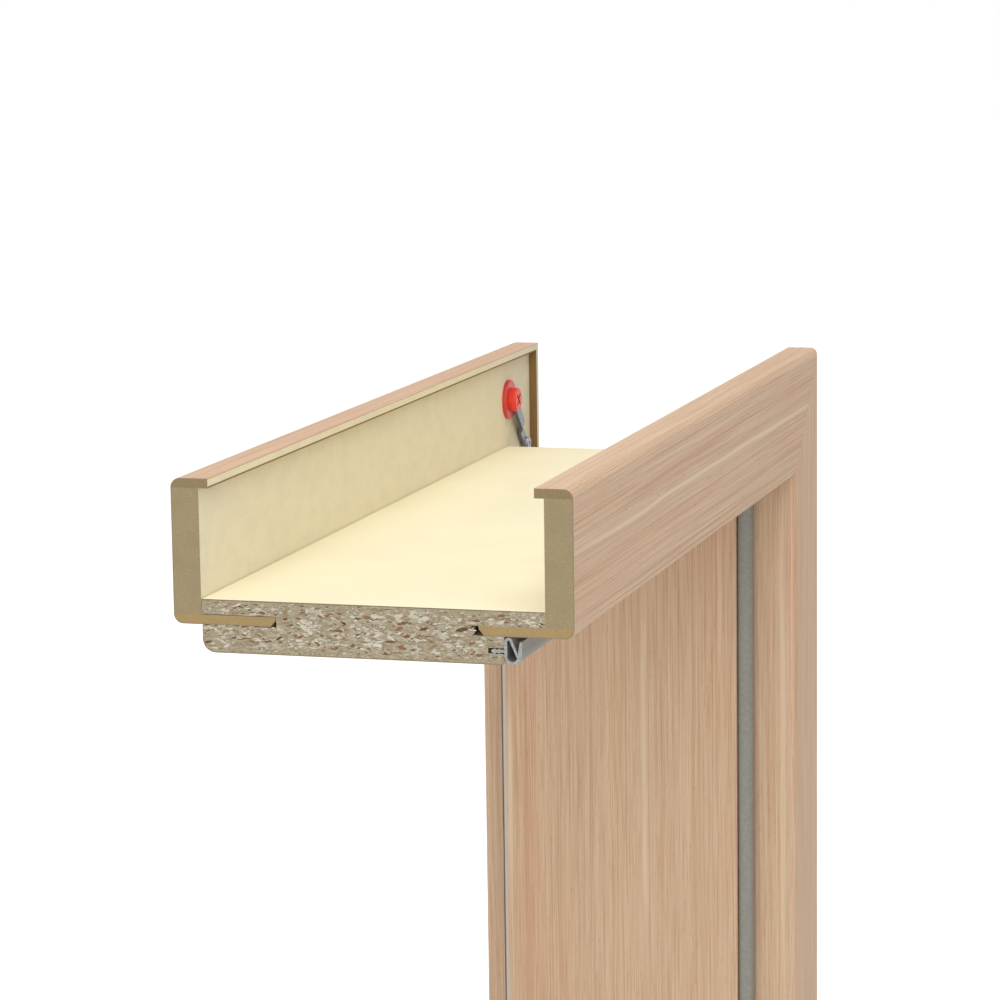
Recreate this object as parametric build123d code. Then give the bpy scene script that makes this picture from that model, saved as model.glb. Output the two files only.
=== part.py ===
from build123d import *
import os

# Corner of an adjustable door frame for a rebated door, sawn off at the head's near end.
# Millimetres. X runs through the wall, Y along the head towards the corner, Z up.
# The origin is the centre of the jamb board's foot.
# The architrave on the -X side slides outwards for a thicker wall, the one on +X is glued on.

# Overall sizes
WALL_THICKNESS = 137.0
HEAD_LENGTH = 500.0
FRAME_HEIGHT = 400.0

# Architraves
ARCHITRAVE_WIDTH = 60.0
LEG_THICKNESS = 12.0
LIP_WIDTH = 16.0
STRIP_THICKNESS = 4.0
EDGE_RADIUS = 4.0
ADJUSTABLE_TONGUE = 31.8
FIXED_TONGUE = 27.6
TONGUE_CHAMFER = 2.0

# Boards
BOARD_THICKNESS = 22.0
REVEAL_STEP = 11.5
REBATE_DEPTH = 29.0
GROOVE_DEPTH = 32.2
REVEAL_RADIUS = 5.5
REBATE_ARRIS = 1.2

# Foils
DECOR_FOIL = 0.5
BACK_FOIL = 0.4

# Seal
SEAL_WIDTH = 7.2
SEAL_WALL = 1.1
SEAL_ARCH_RADIUS = 1.7
SEAL_FOOT_LENGTH = 5.4
SEAL_STEM = 1.2
SEAL_BARB = 0.45
KERF_DEPTH = 6.8
KERF_HEIGHT = 2.4
KERF_CENTRE = 5.9

# Corner connectors
CAM_FROM_EDGE = 25.0
CAM_FROM_CORNER = 46.5
FLANGE_DIAMETER = 20.6
FLANGE_THICKNESS = 2.2
CUP_DIAMETER = 17.0
CUP_DEPTH = 8.0
CAM_DIAMETER = 12.4
CAM_PROUD = 6.2
CAM_SLOT_WIDTH = 1.6
CAM_SLOT_DEPTH = 1.6
STRAP_WIDTH = 6.0
STRAP_THICKNESS = 2.0
STRAP_REACH = 38.0
STRAP_CRANK_AT = 22.0
STRAP_CRANK_RUN = 4.0
STRAP_LIFT = 0.5
SCREW_DIAMETER = 3.4
SCREW_DEPTH = 7.0
SCREW_HEAD_DIAMETER = 7.0
SCREW_HEAD_HEIGHT = 1.8

# Fits
SLIDE_CLEARANCE = 0.3
SEAL_CLEARANCE = 0.3
MITRE_GAP = 0.2
BORE_CLEARANCE = 0.2

# Places worked out from the sizes above
half_width = WALL_THICKNESS / 2 + LIP_WIDTH
board_bottom = -REVEAL_STEP
board_top = board_bottom + BOARD_THICKNESS
board_left = -half_width + LEG_THICKNESS + SLIDE_CLEARANCE
board_right = half_width - LEG_THICKNESS
rebate_face = half_width - REBATE_DEPTH
kerf_middle = -KERF_CENTRE
jamb_inner_y = -(board_bottom + board_top) / 2
corner_y = jamb_inner_y + ARCHITRAVE_WIDTH
head_under_z = FRAME_HEIGHT - ARCHITRAVE_WIDTH

# Sections are drawn with x through the wall and y from the architrave's inner edge outwards.
head_plane = Plane(origin=(0, corner_y, head_under_z), x_dir=(1, 0, 0), z_dir=(0, -1, 0))
jamb_plane = Plane(origin=(0, jamb_inner_y, 0), x_dir=(1, 0, 0), z_dir=(0, 0, 1))
mitre_plane = Plane(origin=(0, corner_y, FRAME_HEIGHT), x_dir=(1, 0, 0), z_dir=(0, 1, -1))


def block(x_low, x_high, y_low, y_high):
    """A rectangle between two corners."""
    middle = Pos((x_low + x_high) / 2, (y_low + y_high) / 2)
    return middle * Rectangle(x_high - x_low, y_high - y_low)


def head_length_of(section):
    """Run a section along the head, from its sawn end to the mitre."""
    bar = extrude(head_plane * section, HEAD_LENGTH, dir=(0, -1, 0))
    return split(bar, mitre_plane.offset(-MITRE_GAP / 2), keep=Keep.BOTTOM)


def jamb_length_of(section):
    """Run a section up the jamb, from its foot to the mitre."""
    bar = extrude(jamb_plane * section, FRAME_HEIGHT, dir=(0, 0, 1))
    return split(bar, mitre_plane.offset(MITRE_GAP / 2), keep=Keep.TOP)


def architrave_outline(inset, reach):
    """The architrave's block with its two rounded outer corners, drawn in from its finished faces."""
    outline = block(inset, reach, inset, ARCHITRAVE_WIDTH - inset)
    outer_corners = outline.vertices().sort_by(Axis.X)[:2]
    return fillet(outer_corners, EDGE_RADIUS - inset)


def architrave_sections(tongue):
    """Lip, leg, tongue and foil of one architrave, with x from its outer face towards the wall."""
    tongue_tip = LEG_THICKNESS + tongue
    lip_base = ARCHITRAVE_WIDTH - STRIP_THICKNESS
    core = architrave_outline(DECOR_FOIL, tongue_tip)
    skin = architrave_outline(0, tongue_tip) - core
    chamfer = make_face(Polyline(
        (tongue_tip - TONGUE_CHAMFER, 0),
        (tongue_tip, 0),
        (tongue_tip, STRIP_THICKNESS * 0.7),
        (tongue_tip - TONGUE_CHAMFER, DECOR_FOIL),
        close=True,
    ))
    foil_limit = block(0, LIP_WIDTH, lip_base, ARCHITRAVE_WIDTH) + block(
        0, tongue_tip - TONGUE_CHAMFER, 0, lip_base)
    return {
        "lip": core & block(0, LIP_WIDTH, lip_base, ARCHITRAVE_WIDTH),
        "leg": core & block(0, LEG_THICKNESS, STRIP_THICKNESS, lip_base),
        "tongue": (core & block(0, tongue_tip, 0, STRIP_THICKNESS)) - chamfer,
        "foil": skin & foil_limit,
    }


def on_adjustable_side(section):
    """Move an architrave's section to the -X side of the wall."""
    return Pos(-half_width, 0) * section


def on_fixed_side(section):
    """Mirror an architrave's section to the +X side of the wall."""
    return mirror(on_adjustable_side(section), Plane.YZ)


def board_outline(inset):
    """The board's part below the grooves, drawn in from its faced sides."""
    outline = block(board_left + inset, rebate_face - inset, board_bottom + inset, 0)
    lower = outline.vertices().group_by(Axis.Y)[0].sort_by(Axis.X)
    outline = fillet(lower[0], REVEAL_RADIUS - inset)
    right = outline.vertices().group_by(Axis.Y)[0].sort_by(Axis.X)[-1]
    return fillet(right, REBATE_ARRIS - inset)


def board_section():
    """Chipboard with a groove for each tongue, the door's rebate and the seal's kerf."""
    kerf_top = kerf_middle + KERF_HEIGHT / 2
    above_rebate = block(board_left, board_right, 0, board_top - BACK_FOIL)
    above_kerf = block(rebate_face - KERF_DEPTH, rebate_face, kerf_top, 0)
    section = board_outline(DECOR_FOIL) + above_rebate + above_kerf
    adjustable_groove = block(
        board_left - DECOR_FOIL,
        -half_width + LEG_THICKNESS + GROOVE_DEPTH,
        -SLIDE_CLEARANCE,
        STRIP_THICKNESS + SLIDE_CLEARANCE,
    )
    fixed_groove = block(board_right - GROOVE_DEPTH, board_right, 0, STRIP_THICKNESS)
    kerf = block(rebate_face - KERF_DEPTH, rebate_face, kerf_middle - KERF_HEIGHT / 2, kerf_top)
    return section - adjustable_groove - fixed_groove - kerf


def board_face_section():
    """Decor foil round the reveal, from the adjustable groove to the seal's kerf."""
    skin = board_outline(0) - board_outline(DECOR_FOIL)
    kerf_bottom = kerf_middle - KERF_HEIGHT / 2
    below_groove = block(board_left, rebate_face - REBATE_ARRIS, board_bottom, -SLIDE_CLEARANCE)
    below_kerf = block(rebate_face - REBATE_ARRIS, rebate_face, board_bottom, kerf_bottom)
    roof = block(board_left + DECOR_FOIL, rebate_face, -DECOR_FOIL, 0)
    return (skin - roof) & (below_groove + below_kerf)


def board_back_section():
    """Paper backing foil on the board's wall side."""
    return block(board_left, board_right, board_top - BACK_FOIL, board_top)


def seal_section():
    """Folded hollow bulb on the rebate's face, with a barbed foot in the kerf."""
    top = -SEAL_CLEARANCE
    bottom = board_bottom + SEAL_CLEARANCE
    bulb_radius = SEAL_WIDTH / 2
    belly = bottom + bulb_radius
    arch = SEAL_ARCH_RADIUS
    lip_tip = top - arch
    fold = (SEAL_WIDTH - 1.5 * SEAL_WALL, belly + 0.4 * SEAL_WALL)
    outer = make_face(
        Line((0, belly), (0, top - arch))
        + ThreePointArc((0, top - arch), (arch, top), (2 * arch, top - arch))
        + Line((2 * arch, top - arch), fold)
        + Line(fold, (SEAL_WIDTH - 0.8 * SEAL_WALL, lip_tip))
        + Line((SEAL_WIDTH - 0.8 * SEAL_WALL, lip_tip), (SEAL_WIDTH, lip_tip))
        + Line((SEAL_WIDTH, lip_tip), (SEAL_WIDTH, belly))
        + ThreePointArc((SEAL_WIDTH, belly), (bulb_radius, bottom), (0, belly))
    )
    inner_arch = arch - SEAL_WALL
    chamber_right = fold[0] - 0.3 * SEAL_WALL
    chamber = make_face(
        Line((SEAL_WALL, belly), (SEAL_WALL, top - arch))
        + ThreePointArc((SEAL_WALL, top - arch), (arch, top - SEAL_WALL), (arch + inner_arch, top - arch))
        + Line((arch + inner_arch, top - arch), (chamber_right, belly - SEAL_WALL))
        + ThreePointArc((chamber_right, belly - SEAL_WALL), (bulb_radius, bottom + SEAL_WALL), (SEAL_WALL, belly))
    )
    stem = SEAL_STEM / 2
    barb = stem + SEAL_BARB
    pitch = SEAL_FOOT_LENGTH / 3
    half_foot = [(0, 0), (0, stem)]
    for tooth in range(1, 3):
        heel = -tooth * pitch
        half_foot += [(heel, stem), (heel, barb), (heel - 0.8 * pitch, stem)]
    half_foot += [(-SEAL_FOOT_LENGTH, stem * 0.6), (-SEAL_FOOT_LENGTH, 0)]
    half = make_face(Polyline(*half_foot, close=True))
    foot = Pos(0, kerf_middle) * (half + mirror(half, Plane.XZ))
    return Pos(rebate_face, 0) * ((outer - chamber) + foot)


def connector_plane():
    """Inner face of the adjustable leg at the cam, with x across the mitre and z off the face."""
    centre = (
        -half_width + LEG_THICKNESS,
        corner_y - CAM_FROM_CORNER,
        FRAME_HEIGHT - CAM_FROM_EDGE,
    )
    return Plane(origin=centre, x_dir=(0, 1, -1), z_dir=(1, 0, 0))


def upright_cylinder(diameter, low, high):
    """A cylinder on the local z axis between two heights."""
    return Pos(0, 0, (low + high) / 2) * Cylinder(diameter / 2, high - low)


def cam_housing():
    """Flanged cup pressed into the leg."""
    flange = upright_cylinder(FLANGE_DIAMETER, 0, FLANGE_THICKNESS)
    rim = flange.edges().group_by(Axis.Z)[-1]
    flange = fillet(rim, FLANGE_THICKNESS * 0.4)
    cup = upright_cylinder(CUP_DIAMETER, -CUP_DEPTH, 0)
    floor = -CUP_DEPTH + FLANGE_THICKNESS / 2
    well = upright_cylinder(CAM_DIAMETER + BORE_CLEARANCE, floor, FLANGE_THICKNESS)
    return flange + cup - well


def strap_low():
    """Height of the strap's underside over the leg, at the cam."""
    return FLANGE_THICKNESS + BORE_CLEARANCE


def cam():
    """Turning cam with a crossed driver slot and a mouth for the strap."""
    floor = -CUP_DEPTH + FLANGE_THICKNESS / 2 + BORE_CLEARANCE / 2
    body = upright_cylinder(CAM_DIAMETER, floor, CAM_PROUD)
    body = fillet(body.edges().group_by(Axis.Z)[-1], (CAM_PROUD - FLANGE_THICKNESS) * 0.2)
    slot = Box(CAM_DIAMETER * 0.65, CAM_SLOT_WIDTH, CAM_SLOT_DEPTH) + Box(
        CAM_SLOT_WIDTH, CAM_DIAMETER * 0.65, CAM_SLOT_DEPTH)
    slot = Pos(0, 0, CAM_PROUD - CAM_SLOT_DEPTH / 2) * slot
    mouth_height = STRAP_THICKNESS + BORE_CLEARANCE
    mouth = Pos(CAM_DIAMETER / 2, 0, strap_low() + STRAP_THICKNESS / 2) * Box(
        CAM_DIAMETER, STRAP_WIDTH + 2 * BORE_CLEARANCE, mouth_height)
    return body - slot - mouth


def draw_strap():
    """Cranked steel strap from inside the cam, over the mitre, to its screw in the jamb."""
    high = strap_low()
    low = STRAP_LIFT
    start = BORE_CLEARANCE
    finish = STRAP_REACH + STRAP_WIDTH / 2
    under = [
        (start, high),
        (STRAP_CRANK_AT, high),
        (STRAP_CRANK_AT + STRAP_CRANK_RUN, low),
        (finish, low),
    ]
    over = [(x, z + STRAP_THICKNESS) for x, z in reversed(under)]
    profile = make_face(Plane.XZ * Polyline(*under, *over, close=True))
    strap = extrude(profile, STRAP_WIDTH / 2, both=True)
    tail = strap.edges().filter_by(Axis.Z).group_by(Axis.X)[-1]
    strap = fillet(tail, STRAP_WIDTH * 0.49)
    hole = Pos(STRAP_REACH, 0) * upright_cylinder(
        SCREW_DIAMETER + 2 * BORE_CLEARANCE, 0, low + 2 * STRAP_THICKNESS)
    return strap - hole


def strap_screw():
    """Pan-head screw that holds the strap to the jamb's leg."""
    seat = STRAP_LIFT + STRAP_THICKNESS
    shank = upright_cylinder(SCREW_DIAMETER, -SCREW_DEPTH, seat)
    head = upright_cylinder(SCREW_HEAD_DIAMETER, seat, seat + SCREW_HEAD_HEIGHT)
    head = fillet(head.edges().group_by(Axis.Z)[-1], SCREW_HEAD_HEIGHT * 0.5)
    drive = Pos(0, 0, seat + SCREW_HEAD_HEIGHT) * (
        Box(SCREW_DIAMETER, SCREW_DIAMETER * 0.25, SCREW_HEAD_HEIGHT)
        + Box(SCREW_DIAMETER * 0.25, SCREW_DIAMETER, SCREW_HEAD_HEIGHT))
    spacer = upright_cylinder(SCREW_DIAMETER + 2.5, 0, STRAP_LIFT)
    return Pos(STRAP_REACH, 0) * (shank + head + spacer - drive)


def cup_bore():
    """Blind bore in the head's leg for the housing."""
    return upright_cylinder(CUP_DIAMETER + BORE_CLEARANCE, -CUP_DEPTH - BORE_CLEARANCE, 1)


def screw_bore():
    """Pilot hole in the jamb's leg for the strap's screw."""
    return Pos(STRAP_REACH, 0) * upright_cylinder(
        SCREW_DIAMETER + BORE_CLEARANCE, -SCREW_DEPTH - BORE_CLEARANCE, 1)


def on_side(shape, side):
    """Place a connector's piece on one architrave's inner face."""
    placed = connector_plane().location * shape
    if side == "fixed":
        placed = mirror(placed, Plane.YZ)
    return placed


pieces = {}

runs = {"head": head_length_of, "jamb": jamb_length_of}
sides = {
    "adjustable": (on_adjustable_side, ADJUSTABLE_TONGUE),
    "fixed": (on_fixed_side, FIXED_TONGUE),
}

for member, run in runs.items():
    pieces[f"{member}_board"] = run(board_section())
    pieces[f"{member}_reveal_foil"] = run(board_face_section())
    pieces[f"{member}_back_foil"] = run(board_back_section())
    pieces[f"{member}_seal"] = run(seal_section())
    for side, (to_side, tongue_length) in sides.items():
        for name, section in architrave_sections(tongue_length).items():
            pieces[f"{side}_{member}_{name}"] = run(to_side(section))

for side in sides:
    pieces[f"{side}_head_leg"] -= on_side(cup_bore(), side)
    pieces[f"{side}_jamb_leg"] -= on_side(screw_bore(), side)
    pieces[f"{side}_cam_housing"] = on_side(cam_housing(), side)
    pieces[f"{side}_cam"] = on_side(cam(), side)
    pieces[f"{side}_draw_strap"] = on_side(draw_strap(), side)
    pieces[f"{side}_strap_screw"] = on_side(strap_screw(), side)

os.makedirs("parts", exist_ok=True)
for name, piece in pieces.items():
    solids = piece.solids()
    shape = solids[0] if len(solids) == 1 else Compound(children=list(solids))
    shape.label = name
    export_step(shape, f"parts/{name}.step")
    print(name, len(solids), round(sum(solid.volume for solid in solids), 1))
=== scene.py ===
"""Finishes and fine pieces for the sawn corner of an adjustable door frame."""
import math
import random

import bmesh
import bpy
from bpy.props import FloatProperty, FloatVectorProperty, IntProperty, PointerProperty
from mathutils import Matrix, Vector


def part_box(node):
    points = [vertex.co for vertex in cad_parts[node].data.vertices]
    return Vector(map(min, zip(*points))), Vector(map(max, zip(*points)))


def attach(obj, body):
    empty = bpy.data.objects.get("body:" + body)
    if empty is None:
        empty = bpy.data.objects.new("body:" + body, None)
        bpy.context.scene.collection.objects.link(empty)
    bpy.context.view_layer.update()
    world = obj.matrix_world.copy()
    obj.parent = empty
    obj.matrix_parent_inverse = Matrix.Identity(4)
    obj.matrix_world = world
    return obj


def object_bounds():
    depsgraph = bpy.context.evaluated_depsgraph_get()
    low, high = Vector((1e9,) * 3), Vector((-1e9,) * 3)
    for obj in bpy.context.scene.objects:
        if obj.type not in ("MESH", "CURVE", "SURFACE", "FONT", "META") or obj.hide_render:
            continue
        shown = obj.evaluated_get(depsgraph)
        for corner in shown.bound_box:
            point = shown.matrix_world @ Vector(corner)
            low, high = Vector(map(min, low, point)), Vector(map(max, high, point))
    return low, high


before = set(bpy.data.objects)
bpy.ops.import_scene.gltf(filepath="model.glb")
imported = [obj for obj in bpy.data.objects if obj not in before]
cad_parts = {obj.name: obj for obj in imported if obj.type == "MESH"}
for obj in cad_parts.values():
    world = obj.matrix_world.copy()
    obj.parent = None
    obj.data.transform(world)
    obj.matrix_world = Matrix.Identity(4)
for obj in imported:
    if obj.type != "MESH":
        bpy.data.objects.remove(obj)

bl_info = {
    "name": "Adjustable Door Frame Corner",
    "version": (1, 0, 0),
    "blender": (4, 5, 0),
    "location": "3D View > Sidebar > Door Frame",
    "description": "Dresses the packed door frame corner with its foils, boards, seal and connectors",
    "category": "Add Mesh",
}

MM = 0.001

# Places read from the frame
cad_low, cad_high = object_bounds()
board_low, board_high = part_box("head_board")
adjustable_tongue_low, adjustable_tongue_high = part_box("adjustable_head_tongue")
fixed_tongue_low, fixed_tongue_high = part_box("fixed_head_tongue")

SAWN_Y = cad_low.y
FOOT_Z = cad_low.z
SAWN_DEPTH = 0.02 * MM
FLOOR_LIFT = 0.66

# Sizes of the board's section that the frame's boxes don't give
REBATE_DEPTH = 29.0 * MM
GROOVE_TIP = 0.6 * MM
GROOVE_PLAY = 0.2 * MM
KERF_DEPTH = 7.0 * MM
KERF_HALF = 1.4 * MM
BOARD_RADIUS = 5.5 * MM


def linear(colour):
    """Turn an sRGB hex colour into linear red, green, blue and alpha."""
    channels = [int(colour[i:i + 2], 16) / 255 for i in (1, 3, 5)]
    curve = [c / 12.92 if c <= 0.04045 else ((c + 0.055) / 1.055) ** 2.4 for c in channels]
    return (*curve, 1.0)


def add_node(tree, kind, settings=None, feeds=None):
    """Add a node, set its properties, and feed its inputs with values or other nodes' outputs."""
    node = tree.nodes.new(kind)
    for name, value in (settings or {}).items():
        setattr(node, name, value)
    for socket, source in (feeds or {}).items():
        if isinstance(source, bpy.types.NodeSocket):
            tree.links.new(source, node.inputs[socket])
        else:
            node.inputs[socket].default_value = source
    return node


def ramp_between(tree, source, stops):
    """Map a factor to colours at the given places."""
    node = add_node(tree, "ShaderNodeValToRGB", feeds={"Fac": source})
    elements = node.color_ramp.elements
    while len(elements) < len(stops):
        elements.new(0.5)
    for element, (place, colour) in zip(elements, stops):
        element.position = place
        element.color = linear(colour) if isinstance(colour, str) else colour
    return node.outputs["Color"]


def blended(tree, share, under, over):
    """Lay one colour over another by a share."""
    settings = {"data_type": "RGBA", "clamp_factor": True}
    node = add_node(tree, "ShaderNodeMix", settings, {0: share, 6: under, 7: over})
    return node.outputs[2]


def worked_out(tree, operation, *values):
    """One sum on numbers or outputs."""
    node = add_node(tree, "ShaderNodeMath", {"operation": operation}, dict(enumerate(values)))
    return node.outputs[0]


def eased(tree, value, low, high, to_low=0.0, to_high=1.0):
    """Ease from one value to another while the input crosses a range."""
    node = add_node(tree, "ShaderNodeMapRange", {"interpolation_type": "SMOOTHSTEP"}, {
        "Value": value, "From Min": low, "From Max": high, "To Min": to_low, "To Max": to_high})
    return node.outputs["Result"]


def pattern(tree, where, grain, across, along, seed, detail=2.0, roughness=0.5):
    """Noise whose blobs measure so many millimetres across and along the grain."""
    per_metre = [1 / (across * MM)] * 3
    per_metre["XYZ".index(grain)] = 1 / (along * MM)
    stretched = add_node(tree, "ShaderNodeMapping", feeds={
        "Vector": where, "Scale": per_metre, "Location": (seed * 3.1, seed * 5.7, seed * 7.3)})
    node = add_node(tree, "ShaderNodeTexNoise", feeds={
        "Vector": stretched.outputs[0], "Scale": 1.0, "Detail": detail, "Roughness": roughness})
    return node.outputs["Fac"]


def new_material(name):
    """A material with only its output and a principled shader."""
    material = bpy.data.materials.new(name)
    material.use_nodes = True
    tree = material.node_tree
    tree.nodes.clear()
    shader = add_node(tree, "ShaderNodeBsdfPrincipled")
    output = add_node(tree, "ShaderNodeOutputMaterial", feeds={"Surface": shader.outputs[0]})
    output.location.x = 400
    where = add_node(tree, "ShaderNodeTexCoord").outputs["Object"]
    return material, tree, shader, where


def on_cut(tree, where):
    """One on the sawn end of the head and on the cut foot of the jamb, else nought."""
    parts = add_node(tree, "ShaderNodeSeparateXYZ", feeds={0: where}).outputs
    sawn = worked_out(tree, "LESS_THAN", parts["Y"], SAWN_Y + SAWN_DEPTH)
    foot = worked_out(tree, "LESS_THAN", parts["Z"], FOOT_Z + SAWN_DEPTH)
    return worked_out(tree, "MAXIMUM", sawn, foot)


# Streaks of the printed foil, in millimetres: which side coordinate they run at, its value,
# their width, where they start and end along the grain, their strength, and their tone.
HEAD_STREAKS = (
    ("Z", 373.8, 1.7, -520.0, 120.0, 0.9, "pale"),
    ("Z", 390.5, 1.3, -330.0, -80.0, 0.4, "pale"),
    ("Z", 381.5, 1.0, -250.0, -20.0, 0.3, "pale"),
    ("Z", 362.0, 1.0, -430.0, -300.0, 0.3, "pale"),
    ("Z", 347.0, 0.7, -430.0, 40.0, 0.55, "brown"),
    ("Z", 344.2, 0.6, -440.0, -120.0, 0.6, "brown"),
    ("Z", 341.8, 0.6, -380.0, 30.0, 0.5, "brown"),
)
JAMB_STREAKS = (
    ("X", 6.2, 2.4, 78.0, 292.0, 0.7, "pale"),
    ("X", -66.3, 2.2, 112.0, 225.0, 0.65, "pale"),
    ("X", -29.4, 1.5, 190.0, 262.0, 0.4, "pale"),
    ("X", -35.6, 1.4, 96.0, 176.0, 0.4, "pale"),
    ("X", 46.5, 1.6, 236.0, 322.0, 0.5, "pale"),
    ("X", 22.0, 1.2, 230.0, 300.0, 0.3, "pale"),
    ("X", 77.5, 2.2, 40.0, 345.0, 0.6, "pale"),
)

# Lines of the jamb's reveal foil: painted shade in the joint beside the adjustable leg and a painted
# highlight on the rounded edge next to it. Each has its side coordinate, its value, its width and its
# tone.
JAMB_EDGE_SHADE_AND_HIGHLIGHT = (
    ("X", -71.9, 1.7, "shade"),
    ("X", -69.7, 1.0, "painted_highlight"),
)


def wood_print(tree, where, grain, streaks, painted_edge_lines, seed, tones, stretch):
    """Beech printed on foil: wide tone bands, wavering growth lines, fibres, pores and pale streaks."""
    wander = pattern(tree, where, grain, 26, 260, seed, detail=1.0)
    shift = worked_out(tree, "MULTIPLY_ADD", wander, 0.0018, -0.0009)
    lean = add_node(tree, "ShaderNodeCombineXYZ", feeds={0: shift, 1: shift, 2: shift})
    bent = add_node(tree, "ShaderNodeVectorMath", {"operation": "ADD"},
                    {0: where, 1: lean.outputs[0]}).outputs[0]

    bands = pattern(tree, bent, grain, 16, 520 * stretch, seed + 1, detail=2.0)
    colour = ramp_between(tree, bands, (
        (0.30, tones["rosy"]), (0.46, tones["body"]), (0.58, tones["body"]), (0.72, tones["straw"])))
    rows = pattern(tree, bent, grain, 3.6, 320 * stretch, seed + 2, detail=2.5, roughness=0.6)
    colour = blended(tree, eased(tree, rows, 0.50, 0.72, 0.0, 0.30), colour, tones["brown"])
    colour = blended(tree, eased(tree, rows, 0.47, 0.30, 0.0, 0.26), colour, tones["straw"])
    lines = pattern(tree, bent, grain, 0.95, 180 * stretch, seed + 3, detail=2.0, roughness=0.6)
    colour = blended(tree, eased(tree, lines, 0.50, 0.70, 0.0, 0.5), colour, tones["brown"])
    colour = blended(tree, eased(tree, lines, 0.48, 0.30, 0.0, 0.32), colour, tones["pale"])
    fibres = pattern(tree, bent, grain, 0.55, 32 * stretch, seed + 4, detail=1.0, roughness=0.6)
    colour = blended(tree, eased(tree, fibres, 0.53, 0.66, 0.0, 0.36), colour, tones["brown"])
    colour = blended(tree, eased(tree, fibres, 0.46, 0.34, 0.0, 0.3), colour, tones["pale"])
    pores = pattern(tree, bent, grain, 0.42, 6.5, seed + 5, detail=1.0)
    pore = eased(tree, pores, 0.63, 0.72)
    colour = blended(tree, worked_out(tree, "MULTIPLY", pore, 0.3), colour, tones["pore"])

    waver = pattern(tree, where, grain, 60, 90, seed + 6, detail=1.0)
    mm_coords = add_node(tree, "ShaderNodeVectorMath", {"operation": "SCALE"},
                         {0: where, "Scale": 1 / MM}).outputs[0]
    split = add_node(tree, "ShaderNodeSeparateXYZ", feeds={0: mm_coords}).outputs
    length = split["XYZ".index(grain)]
    drift = worked_out(tree, "MULTIPLY_ADD", waver, 2.6, -1.3)
    for side, place, width, start, end, strength, tone in streaks:
        across = worked_out(tree, "ADD", split["XYZ".index(side)], drift)
        off = worked_out(tree, "ABSOLUTE", worked_out(tree, "SUBTRACT", across, place))
        core = eased(tree, off, width * 0.95, width * 0.15)
        fade = (end - start) * 0.3
        begun = eased(tree, length, start - fade * 0.3, start + fade)
        ended = eased(tree, length, end + fade * 0.3, end - fade)
        share = worked_out(tree, "MULTIPLY", core, worked_out(tree, "MULTIPLY", begun, ended))
        share = worked_out(tree, "MULTIPLY", share, strength)
        colour = blended(tree, share, colour, tones[tone])
    # Painted shade and painted highlight: dark and pale lines at fixed side coordinates, the same all
    # along the grain.
    for side, place, width, tone in painted_edge_lines:
        off = worked_out(tree, "ABSOLUTE", worked_out(tree, "SUBTRACT", split["XYZ".index(side)], place))
        colour = blended(tree, eased(tree, off, width, width * 0.4), colour, tones[tone])
    return colour, pore, fibres


def beech_foil(name, grain, streaks, painted_edge_lines, seed, tones, stretch):
    """Paper foil printed as steamed beech and lacquered matt: soft gloss, faint pressed pores."""
    material, tree, shader, where = new_material(name)
    colour, pore, fibres = wood_print(tree, where, grain, streaks, painted_edge_lines, seed, tones, stretch)
    colour = blended(tree, on_cut(tree, where), colour, tones["cut"])
    relief = worked_out(tree, "MULTIPLY_ADD", pore, -1.0, fibres)
    bump = add_node(tree, "ShaderNodeBump", feeds={
        "Strength": 0.25, "Distance": 0.04 * MM, "Height": relief})
    gloss = worked_out(tree, "MULTIPLY_ADD", pore, 0.14, 0.55)
    tree.links.new(colour, shader.inputs["Base Color"])
    tree.links.new(gloss, shader.inputs["Roughness"])
    tree.links.new(bump.outputs[0], shader.inputs["Normal"])
    shader.inputs["IOR"].default_value = 1.46
    shader.inputs["Specular IOR Level"].default_value = 0.12
    return material


def fibreboard(name, face, sawn_tone, seed, shade_and_glue_at=None):
    """Pressed wood fibre, sawn at its ends; on the lips a brown band along the lower edge is painted shade
    under the lip, with the glue there.
    """
    material, tree, shader, where = new_material(name)
    clouds = pattern(tree, where, "Y", 9, 14, seed, detail=3.0)
    felt = pattern(tree, where, "Y", 0.8, 1.1, seed + 1, detail=4.0, roughness=0.7)
    pressed = blended(tree, eased(tree, clouds, 0.35, 0.7), face, shaded(face, 0.95))
    pressed = blended(tree, eased(tree, felt, 0.45, 0.7, 0.0, 0.6), pressed, shaded(face, 0.88))
    raw = blended(tree, eased(tree, felt, 0.3, 0.7), shaded(sawn_tone, 0.84), shaded(sawn_tone, 1.06))
    raw = blended(tree, eased(tree, clouds, 0.4, 0.7, 0.0, 0.5), raw, shaded(sawn_tone, 0.84))
    # Painted shade under the lip, with the glue there: a brown band up to 0.9 mm above the lip's lower
    # edge.
    if shade_and_glue_at:
        axis, place = shade_and_glue_at
        height = add_node(tree, "ShaderNodeSeparateXYZ", feeds={0: where}).outputs[axis]
        shade_and_glue = eased(tree, height, place + 0.9 * MM, place + 0.5 * MM)
        pressed = blended(tree, shade_and_glue, pressed, linear("#8C6E48"))
    colour = blended(tree, on_cut(tree, where), pressed, raw)
    fuzz = pattern(tree, where, "Y", 0.45, 0.45, seed + 3, detail=3.0, roughness=0.75)
    bump = add_node(tree, "ShaderNodeBump", feeds={
        "Strength": 0.5, "Distance": 0.08 * MM, "Height": fuzz})
    tree.links.new(colour, shader.inputs["Base Color"])
    tree.links.new(bump.outputs[0], shader.inputs["Normal"])
    shader.inputs["Roughness"].default_value = 0.85
    shader.inputs["Specular IOR Level"].default_value = 0.2
    return material


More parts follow.
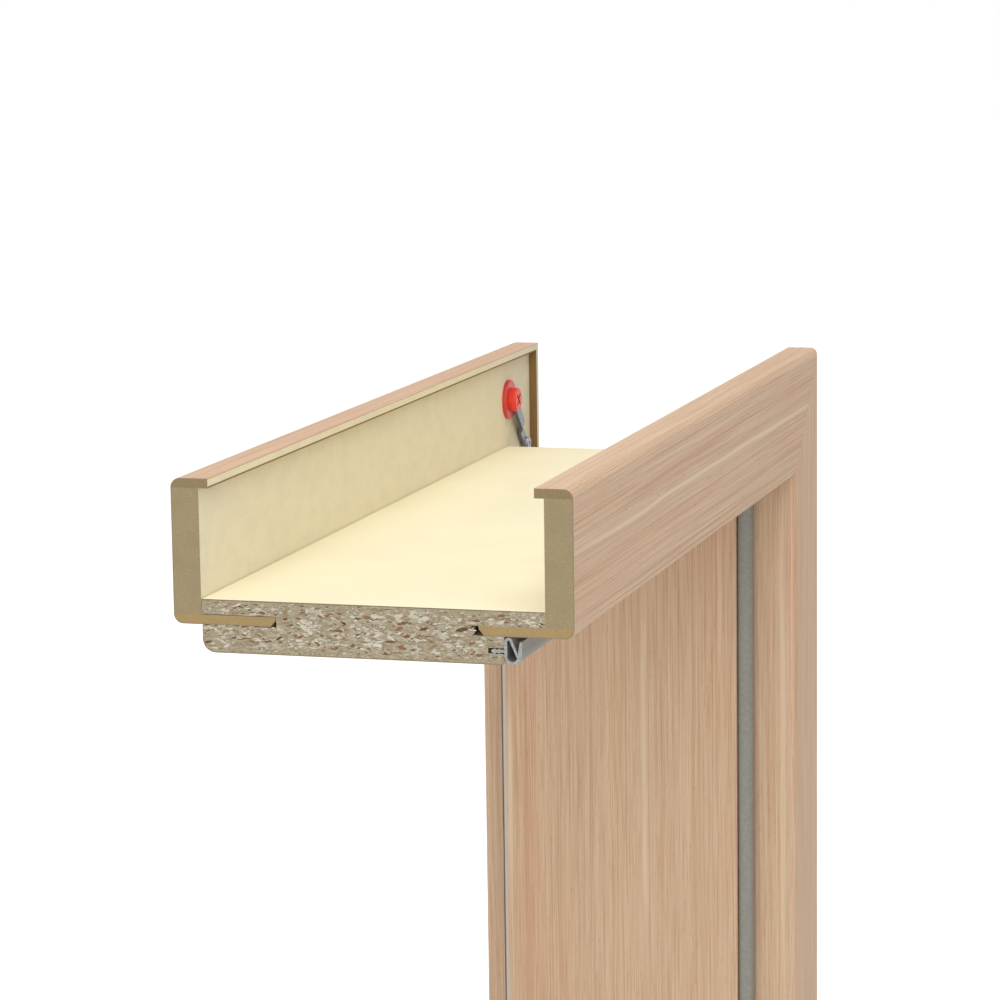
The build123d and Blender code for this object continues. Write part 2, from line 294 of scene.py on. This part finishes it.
def chipboard(name):
    """Three-layer chipboard: coarse flat chips inside, fine dust-like ones by the faces, sawn rough."""
    material, tree, shader, where = new_material(name)
    bent = add_node(tree, "ShaderNodeTexNoise", feeds={"Vector": where, "Scale": 260.0, "Detail": 2.0})
    nudge = add_node(tree, "ShaderNodeVectorMath", {"operation": "MULTIPLY_ADD"}, {
        0: bent.outputs["Color"], 1: (0.0016, 0.0016, 0.0016), 2: where}).outputs[0]
    lying = add_node(tree, "ShaderNodeMapping", feeds={
        "Vector": nudge, "Scale": (1 / (1.5 * MM), 1 / (1.5 * MM), 1 / (0.55 * MM))}).outputs[0]
    cells = add_node(tree, "ShaderNodeTexVoronoi", feeds={"Vector": lying, "Scale": 1.0})
    tone = add_node(tree, "ShaderNodeSeparateColor", feeds={0: cells.outputs["Color"]}).outputs[0]
    chips = ramp_between(tree, tone, (
        (0.0, "#715C4B"), (0.08, "#8D6F55"), (0.20, "#978A6F"), (0.50, "#A2967D"),
        (0.78, "#ACA38C"), (1.0, "#B8B19D")))
    dust = pattern(tree, where, "X", 0.4, 0.9, 3, detail=4.0, roughness=0.7)
    fine = ramp_between(tree, dust, ((0.3, "#85785F"), (0.5, "#A49A80"), (0.7, "#B8B09A")))
    layer = pattern(tree, where, "X", 5, 30, 8, detail=2.0)
    colour = blended(tree, eased(tree, layer, 0.35, 0.65, 0.25, 0.75), chips, fine)
    seam = eased(tree, cells.outputs["Distance"], 0.42, 0.75, 0.0, 0.35)
    colour = blended(tree, seam, colour, linear("#7C6C54"))
    crumbs = pattern(tree, where, "X", 0.7, 1.6, 5, detail=3.0, roughness=0.7)
    bump = add_node(tree, "ShaderNodeBump", feeds={
        "Strength": 0.7, "Distance": 0.25 * MM, "Height": crumbs})
    tree.links.new(colour, shader.inputs["Base Color"])
    tree.links.new(bump.outputs[0], shader.inputs["Normal"])
    shader.inputs["Roughness"].default_value = 0.9
    shader.inputs["Specular IOR Level"].default_value = 0.15
    return material


def cut_chips(name):
    """Single chips bared by the saw, each of its own wood: pale spruce, birch, bark and red-brown."""
    material, tree, shader, where = new_material(name)
    tone = add_node(tree, "ShaderNodeAttribute", {"attribute_name": "chip_tone"}).outputs["Fac"]
    colour = ramp_between(tree, tone, (
        (0.00, "#46382F"), (0.08, "#6E4733"), (0.20, "#8B5F45"), (0.30, "#8F7D60"),
        (0.45, "#9C9178"), (0.62, "#ABA18B"), (0.80, "#BFB8A6"), (1.00, "#D6D1C4")))
    fibre = pattern(tree, where, "X", 0.25, 1.6, 4, detail=3.0, roughness=0.7)
    colour = blended(tree, eased(tree, fibre, 0.35, 0.7, 0.0, 0.35), colour, linear("#8A7A60"))
    bump = add_node(tree, "ShaderNodeBump", feeds={
        "Strength": 0.5, "Distance": 0.1 * MM, "Height": fibre})
    tree.links.new(colour, shader.inputs["Base Color"])
    tree.links.new(bump.outputs[0], shader.inputs["Normal"])
    shader.inputs["Roughness"].default_value = 0.85
    shader.inputs["Specular IOR Level"].default_value = 0.2
    return material


def backing_paper(name, tone):
    """Resin-soaked cream paper pressed on the wall side: near white, satin, a little cloudy."""
    material, tree, shader, where = new_material(name)
    clouds = pattern(tree, where, "Y", 45, 70, 2, detail=2.0)
    colour = blended(tree, eased(tree, clouds, 0.35, 0.68), tone, shaded(tone, 1.04))
    wires = pattern(tree, where, "Y", 1.2, 3.0, 6, detail=2.0)
    colour = blended(tree, eased(tree, wires, 0.4, 0.75, 0.0, 0.25), colour, shaded(tone, 0.94))
    colour = blended(tree, on_cut(tree, where), colour, linear("#786450"))
    bump = add_node(tree, "ShaderNodeBump", feeds={
        "Strength": 0.2, "Distance": 0.03 * MM, "Height": wires})
    tree.links.new(colour, shader.inputs["Base Color"])
    tree.links.new(bump.outputs[0], shader.inputs["Normal"])
    shader.inputs["Roughness"].default_value = 0.6
    shader.inputs["Specular IOR Level"].default_value = 0.25
    return material


def seal_rubber(name, skin, cut_tone):
    """Extruded thermoplastic rubber: matt grey, paler and chalky where it was cut."""
    material, tree, shader, where = new_material(name)
    streaks = pattern(tree, where, "Y", 1.5, 60, 1, detail=2.0)
    dust = pattern(tree, where, "Z", 0.5, 0.8, 2, detail=3.0, roughness=0.7)
    colour = blended(tree, eased(tree, streaks, 0.35, 0.7), skin, shaded(skin, 1.12))
    colour = blended(tree, eased(tree, dust, 0.5, 0.8, 0.0, 0.2), colour, shaded(skin, 1.35))
    torn = blended(tree, eased(tree, dust, 0.35, 0.65), shaded(cut_tone, 0.7), shaded(cut_tone, 1.2))
    colour = blended(tree, on_cut(tree, where), colour, torn)
    bump = add_node(tree, "ShaderNodeBump", feeds={
        "Strength": 0.25, "Distance": 0.03 * MM, "Height": dust})
    tree.links.new(colour, shader.inputs["Base Color"])
    tree.links.new(bump.outputs[0], shader.inputs["Normal"])
    shader.inputs["Roughness"].default_value = 0.62
    shader.inputs["Specular IOR Level"].default_value = 0.35
    return material


def moulded_nylon(name, tone, seed):
    """Injection-moulded nylon: even colour, eggshell gloss, faint flow marks."""
    material, tree, shader, where = new_material(name)
    flow = pattern(tree, where, "Z", 2.5, 6, seed, detail=2.0)
    colour = blended(tree, eased(tree, flow, 0.3, 0.7), tone, shaded(tone, 1.08))
    skin = pattern(tree, where, "Z", 0.35, 0.35, seed + 1, detail=2.0)
    bump = add_node(tree, "ShaderNodeBump", feeds={
        "Strength": 0.2, "Distance": 0.03 * MM, "Height": skin})
    tree.links.new(colour, shader.inputs["Base Color"])
    tree.links.new(bump.outputs[0], shader.inputs["Normal"])
    shader.inputs["Roughness"].default_value = 0.38
    shader.inputs["IOR"].default_value = 1.53
    return material


def plated_steel(name, tone, seed):
    """Pressed steel, zinc plated: grey metal with a soft spangle and drawn lines."""
    material, tree, shader, where = new_material(name)
    spangle = pattern(tree, where, "Z", 1.6, 2.6, seed, detail=2.0)
    colour = blended(tree, eased(tree, spangle, 0.3, 0.7), tone, shaded(tone, 1.25))
    drawn = pattern(tree, where, "Z", 0.2, 5.0, seed + 1, detail=2.0)
    gloss = eased(tree, drawn, 0.3, 0.7, 0.30, 0.48)
    bump = add_node(tree, "ShaderNodeBump", feeds={
        "Strength": 0.15, "Distance": 0.03 * MM, "Height": drawn})
    tree.links.new(colour, shader.inputs["Base Color"])
    tree.links.new(gloss, shader.inputs["Roughness"])
    tree.links.new(bump.outputs[0], shader.inputs["Normal"])
    shader.inputs["Metallic"].default_value = 1.0
    return material


def finish(nodes, material):
    """Give CAD nodes a material in every slot."""
    for name in nodes:
        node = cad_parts[name]
        for slot in node.material_slots:
            slot.material = material


def new_piece(name, build, material, body):
    """Make a mesh piece from a bmesh, dress it and let it ride on a body."""
    mesh = bpy.data.meshes.new(name)
    build.to_mesh(mesh)
    build.free()
    mesh.materials.append(material)
    piece = bpy.data.objects.new(name, mesh)
    bpy.context.scene.collection.objects.link(piece)
    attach(piece, body)
    return piece


def on_board_end(x, z, margin):
    """Whether a point of the sawn end lies on chipboard, clear of grooves, rebate and round corner."""
    low, high = board_low, board_high
    if not (low.x + margin < x < high.x - margin and low.z + margin < z < high.z - margin):
        return False
    groove_low = fixed_tongue_low.z - GROOVE_PLAY
    groove_high = fixed_tongue_high.z + GROOVE_PLAY
    if groove_low - margin < z < groove_high + margin:
        if x < adjustable_tongue_high.x + GROOVE_TIP + margin:
            return False
        if x > fixed_tongue_low.x - GROOVE_TIP - margin:
            return False
    rebate = cad_high.x - REBATE_DEPTH
    if z < groove_low and x > rebate - margin:
        return False
    kerf_middle = (groove_low + low.z) / 2
    if x > rebate - KERF_DEPTH - margin and abs(z - kerf_middle) < KERF_HALF + margin:
        return False
    corner_x = low.x + BOARD_RADIUS - x
    corner_z = low.z + BOARD_RADIUS - z
    if corner_x > 0 and corner_z > 0 and math.hypot(corner_x, corner_z) > BOARD_RADIUS - margin:
        return False
    return True


def bared_chips(count, seed):
    """Thin flat chips on the head board's sawn end, long in the core and small by the faces."""
    chance = random.Random(seed)
    build = bmesh.new()
    tone_layer = build.verts.layers.float.new("chip_tone")
    height = board_high.z - board_low.z
    made = 0
    while made < count:
        x = chance.uniform(board_low.x, board_high.x)
        z = chance.uniform(board_low.z, board_high.z)
        depth = min(z - board_low.z, board_high.z - z) / height
        core = min(1.0, depth / 0.22)
        length = (0.3 + 0.6 * core) * chance.lognormvariate(0.0, 0.5) * MM
        width = length * chance.uniform(0.16, 0.42)
        turn = chance.gauss(0.0, math.radians(6 + 12 * core))
        corners = []
        sides = chance.randint(6, 9)
        for side in range(sides):
            angle = 2 * math.pi * (side + chance.uniform(-0.25, 0.25)) / sides
            reach = chance.uniform(0.78, 1.12)
            along = math.copysign(abs(math.cos(angle)) ** 0.8, math.cos(angle)) * length * reach
            up = math.sin(angle) * width * reach
            corners.append((
                x + along * math.cos(turn) - up * math.sin(turn),
                z + along * math.sin(turn) + up * math.cos(turn),
            ))
        if not all(on_board_end(cx, cz, 0.1 * MM) for cx, cz in corners):
            continue
        made += 1
        proud = chance.uniform(0.01, 0.03) * MM
        pick = chance.random()
        if pick < 0.12:
            tone = chance.uniform(0.02, 0.22)
        elif pick < 0.6:
            tone = chance.uniform(0.3, 0.62)
        else:
            tone = chance.uniform(0.6, 1.0)
        top = [build.verts.new((cx, SAWN_Y - proud, cz)) for cx, cz in corners]
        base = [build.verts.new((cx, SAWN_Y + 0.05 * MM, cz)) for cx, cz in corners]
        for vert in top + base:
            vert[tone_layer] = tone
        build.faces.new(top)
        build.faces.new(list(reversed(base)))
        for i in range(sides):
            j = (i + 1) % sides
            build.faces.new((top[j], top[i], base[i], base[j]))
    bmesh.ops.recalc_face_normals(build, faces=build.faces)
    return build


def colour_of(name, description, colour):
    """A colour that a user can change, with its default given as sRGB hex."""
    return FloatVectorProperty(
        name=name, description=description, subtype="COLOR", default=linear(colour)[:3], min=0, max=1)


class FoilColours(bpy.types.PropertyGroup):
    """Colours of the printed beech foil."""

    body: colour_of("Body", "Main colour of the printed beech", "#D7B799")
    rosy: colour_of("Rosy", "Bands of redder wood", "#D6AF91")
    straw: colour_of("Straw", "Bands of yellower wood", "#DBBE9D")
    brown: colour_of("Brown", "Late wood lines", "#BB9270")
    pale: colour_of("Pale", "Pale streaks", "#E6D0B2")
    pore: colour_of("Pore", "Pores", "#A88060")
    cut: colour_of("Cut", "Sawn edge of the foil", "#8F8067")
    # Painted shade in the joint beside the adjustable leg, and a painted highlight on the rounded edge
    # next to it.
    shade: colour_of("Shade", "Joint beside the adjustable leg", "#4A403A")
    painted_highlight: colour_of("Highlight", "Highlit edge next to that joint", "#CBC8C2")


class CoreColours(bpy.types.PropertyGroup):
    """Colours of the cores, the seals and the connectors."""

    fibreboard: colour_of("Fibreboard", "Pressed face of the fibreboard", "#F0E6CA")
    leg_end: colour_of("Leg End", "Sawn end of the legs", "#9D8D6C")
    lip_end: colour_of("Lip End", "Sawn end of the lips", "#8F7D5B")
    tongue_end: colour_of("Tongue End", "Sawn end of the tongues", "#A78E62")
    paper: colour_of("Paper", "Backing paper on the wall side", "#FBF1CE")
    seal: colour_of("Seal", "Skin of the seals", "#8F8E86")
    seal_cut: colour_of("Seal Cut", "Cut ends of the seals", "#9B9D9D")
    housing: colour_of("Housing", "Connector housings", "#CB3A30")
    cam: colour_of("Cam", "Connector cams", "#E23A22")
    steel: colour_of("Steel", "Draw straps and screws", "#77787C")


class StageSizes(bpy.types.PropertyGroup):
    """Camera and lamps."""

    lens: FloatProperty(
        name="Lens", description="Focal length of the camera", subtype="DISTANCE_CAMERA", default=127.9)
    camera_at: FloatVectorProperty(
        name="Camera", description="Where the camera stands", subtype="TRANSLATION",
        default=(0.4416, -1.7694, 0.6111))
    pan: FloatProperty(
        name="Pan", description="Turn of the camera to the left", subtype="ANGLE", default=0.2832)
    tilt: FloatProperty(
        name="Tilt", description="Lean of the camera below level", subtype="ANGLE", default=0.1548)
    roll: FloatProperty(
        name="Roll", description="Turn of the picture round its centre", subtype="ANGLE",
        default=-0.014)
    fill: FloatProperty(
        name="Fill", description="Strength of the white room's light", default=0.55, min=0, max=1)


class ChipSizes(bpy.types.PropertyGroup):
    """Chips bared by the saw."""

    count: IntProperty(name="Count", description="Number of bared chips", default=4600, min=0)
    seed: IntProperty(name="Seed", description="Which spread of chips is made", default=11)


def tones_of(group):
    """Colours of a property group by name, ready for a shader."""
    return {name: (*getattr(group, name), 1.0) for name in group.__annotations__}


def shaded(colour, factor):
    """The same colour lighter or darker."""
    return (*(min(1.0, channel * factor) for channel in colour[:3]), 1.0)


PIECES = ("head", "jamb")
SIDES = ("adjustable", "fixed")


class DOORFRAME_OT_foils(bpy.types.Operator):
    """Dress the printed foils of the head and the jamb"""

    bl_idname = "doorframe.foils"
    bl_label = "Decor Foils"

    def execute(self, context):
        tones = tones_of(context.scene.doorframe_foil)
        head = beech_foil("beech_foil_head", "Y", HEAD_STREAKS, (), 4.0, tones, 3.0)
        jamb = beech_foil("beech_foil_jamb", "Z", JAMB_STREAKS, (), 9.0, tones, 1.2)
        reveal = beech_foil("beech_foil_jamb_reveal", "Z", JAMB_STREAKS, JAMB_EDGE_SHADE_AND_HIGHLIGHT, 9.0, tones, 1.2)
        finish(["head_reveal_foil", "adjustable_head_foil", "fixed_head_foil"], head)
        finish(["adjustable_jamb_foil", "fixed_jamb_foil"], jamb)
        finish(["jamb_reveal_foil"], reveal)
        return {"FINISHED"}


class DOORFRAME_OT_architraves(bpy.types.Operator):
    """Dress the fibreboard cores of the architraves"""

    bl_idname = "doorframe.architraves"
    bl_label = "Architrave Cores"

    def execute(self, context):
        tones = tones_of(context.scene.doorframe_cores)
        leg = fibreboard("fibreboard_leg", tones["fibreboard"], tones["leg_end"], 1)
        for piece, axis in (("head", "Z"), ("jamb", "Y")):
            # The lip's lower edge, where the painted shade under the lip goes.
            shade_and_glue_at = (axis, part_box(f"adjustable_{piece}_lip")[0]["XYZ".index(axis)])
            lip = fibreboard(f"fibreboard_{piece}_lip", tones["fibreboard"], tones["lip_end"], 21, shade_and_glue_at)
            finish([f"{s}_{piece}_lip" for s in SIDES], lip)
        tongue = fibreboard("fibreboard_tongue", tones["fibreboard"], tones["tongue_end"], 41)
        finish([f"{s}_{p}_leg" for s in SIDES for p in PIECES], leg)
        finish([f"{s}_{p}_tongue" for s in SIDES for p in PIECES], tongue)
        return {"FINISHED"}


class DOORFRAME_OT_boards(bpy.types.Operator):
    """Dress the chipboard and its backing paper, and lay the chips bared by the saw on the head board's
    sawn end
    """

    bl_idname = "doorframe.boards"
    bl_label = "Boards"

    def execute(self, context):
        sizes = context.scene.doorframe_chips
        finish(["head_board", "jamb_board"], chipboard("chipboard_sawn"))
        finish(["head_back_foil", "jamb_back_foil"],
               backing_paper("cream_backing_paper", tones_of(context.scene.doorframe_cores)["paper"]))
        chips = bared_chips(sizes.count, sizes.seed)
        new_piece("head_bared_chips", chips, cut_chips("chipboard_single_chips"), "frame")
        return {"FINISHED"}


class DOORFRAME_OT_seals(bpy.types.Operator):
    """Dress the hollow seals"""

    bl_idname = "doorframe.seals"
    bl_label = "Seals"

    def execute(self, context):
        tones = tones_of(context.scene.doorframe_cores)
        rubber = seal_rubber("seal_rubber_grey", tones["seal"], tones["seal_cut"])
        finish(["head_seal", "jamb_seal"], rubber)
        return {"FINISHED"}


class DOORFRAME_OT_connectors(bpy.types.Operator):
    """Dress the corner connectors"""

    bl_idname = "doorframe.connectors"
    bl_label = "Corner Connectors"

    def execute(self, context):
        tones = tones_of(context.scene.doorframe_cores)
        screw_steel = shaded(tones["steel"], 1.7)
        dresses = {
            "cam_housing": moulded_nylon("nylon_moulded_red", tones["housing"], 2),
            "cam": moulded_nylon("nylon_moulded_bright_red", tones["cam"], 12),
            "draw_strap": plated_steel("steel_pressed_zinc_plated", tones["steel"], 3),
            "strap_screw": plated_steel("steel_screw_zinc_plated", screw_steel, 7),
        }
        for piece, material in dresses.items():
            finish([f"{side}_{piece}" for side in SIDES], material)
        return {"FINISHED"}


class DOORFRAME_OT_stage(bpy.types.Operator):
    """Set up the floor, the lamps and the camera"""

    bl_idname = "doorframe.stage"
    bl_label = "Stage"

    def execute(self, context):
        scene = context.scene
        stage = scene.doorframe_stage
        scene.view_settings.view_transform = "Standard"

        build = bmesh.new()
        for x, y in ((-6, -4), (6, -4), (6, 9), (-6, 9)):
            build.verts.new((x, y, FOOT_Z))
        build.faces.new(build.verts)
        mesh = bpy.data.meshes.new("studio_floor")
        build.to_mesh(mesh)
        build.free()
        floor = bpy.data.objects.new("studio_floor", mesh)
        scene.collection.objects.link(floor)
        mesh.materials.append(self.floor_paint())

        world = bpy.data.worlds.new("studio_room")
        scene.world = world
        world.use_nodes = True
        background = world.node_tree.nodes["Background"]
        background.inputs["Color"].default_value = (1, 1, 1, 1)
        seen = self.looked_at(world.node_tree)
        strength = worked_out(world.node_tree, "MULTIPLY_ADD", seen, 1 - stage.fill, stage.fill)
        world.node_tree.links.new(strength, background.inputs["Strength"])

        self.lamp("top_softbox", (0.2, -0.5, 1.9), (0, -0.2, 0.35), 1.4, 12)
        self.lamp("front_softbox", (0.1, -2.4, 0.9), (0, -0.3, 0.3), 1.4, 19.5)
        self.lamp("side_softbox", (2.0, -0.9, 0.9), (0, -0.2, 0.3), 1.4, 2)

        data = bpy.data.cameras.new("camera")
        data.lens = stage.lens
        data.sensor_width = 36
        data.clip_end = 50
        camera = bpy.data.objects.new("camera", data)
        scene.collection.objects.link(camera)
        turn = (
            Matrix.Rotation(stage.pan, 4, "Z")
            @ Matrix.Rotation(math.pi / 2 - stage.tilt, 4, "X")
            @ Matrix.Rotation(stage.roll, 4, "Z")
        )
        camera.matrix_world = Matrix.Translation(stage.camera_at) @ turn
        scene.camera = camera
        return {"FINISHED"}

    def floor_paint(self):
        """Matt white studio paint that the camera sees as white where no shadow falls."""
        material = bpy.data.materials.new("studio_matt_white")
        material.use_nodes = True
        tree = material.node_tree
        tree.nodes.clear()
        paint = add_node(tree, "ShaderNodeBsdfDiffuse", feeds={"Color": (0.8, 0.8, 0.8, 1)})
        lift = worked_out(tree, "MULTIPLY", self.looked_at(tree), FLOOR_LIFT)
        glow = add_node(tree, "ShaderNodeEmission", feeds={"Color": (1, 1, 1, 1), "Strength": lift})
        both = add_node(tree, "ShaderNodeAddShader", feeds={0: paint.outputs[0], 1: glow.outputs[0]})
        add_node(tree, "ShaderNodeOutputMaterial", feeds={"Surface": both.outputs[0]})
        return material

    def looked_at(self, tree):
        """One where a ray comes straight from the camera, or by a mirror or through glass, else nought."""
        ray = add_node(tree, "ShaderNodeLightPath").outputs
        seen = worked_out(tree, "MAXIMUM", ray["Is Camera Ray"], ray["Is Glossy Ray"])
        return worked_out(tree, "MAXIMUM", seen, ray["Is Transmission Ray"])

    def lamp(self, name, place, target, size, power):
        """A square softbox aimed at a point."""
        data = bpy.data.lights.new(name, "AREA")
        data.size = size
        data.energy = power
        lamp = bpy.data.objects.new(name, data)
        bpy.context.scene.collection.objects.link(lamp)
        lamp.location = place
        lamp.rotation_euler = (Vector(target) - Vector(place)).to_track_quat("-Z", "Y").to_euler()


class DOORFRAME_PT_panel(bpy.types.Panel):
    """Door frame tools"""

    bl_idname = "DOORFRAME_PT_panel"
    bl_label = "Door Frame"
    bl_space_type = "VIEW_3D"
    bl_region_type = "UI"
    bl_category = "Door Frame"

    def draw(self, context):
        for operator in OPERATORS:
            self.layout.operator(operator.bl_idname)


GROUPS = {
    "doorframe_stage": StageSizes,
    "doorframe_chips": ChipSizes,
    "doorframe_foil": FoilColours,
    "doorframe_cores": CoreColours,
}
OPERATORS = (
    DOORFRAME_OT_foils,
    DOORFRAME_OT_architraves,
    DOORFRAME_OT_boards,
    DOORFRAME_OT_seals,
    DOORFRAME_OT_connectors,
    DOORFRAME_OT_stage,
)


def register():
    """Register the settings, the operators and the panel."""
    for name, group in GROUPS.items():
        bpy.utils.register_class(group)
        setattr(bpy.types.Scene, name, PointerProperty(type=group))
    for made in (*OPERATORS, DOORFRAME_PT_panel):
        bpy.utils.register_class(made)


def unregister():
    """Take the panel, the operators and the settings out again."""
    for made in (DOORFRAME_PT_panel, *reversed(OPERATORS)):
        bpy.utils.unregister_class(made)
    for name, group in GROUPS.items():
        delattr(bpy.types.Scene, name)
        bpy.utils.unregister_class(group)


def main():
    """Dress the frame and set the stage."""
    register()
    for operator in OPERATORS:
        group, name = operator.bl_idname.split(".")
        getattr(getattr(bpy.ops, group), name)()


if __name__ == "__main__":
    main()
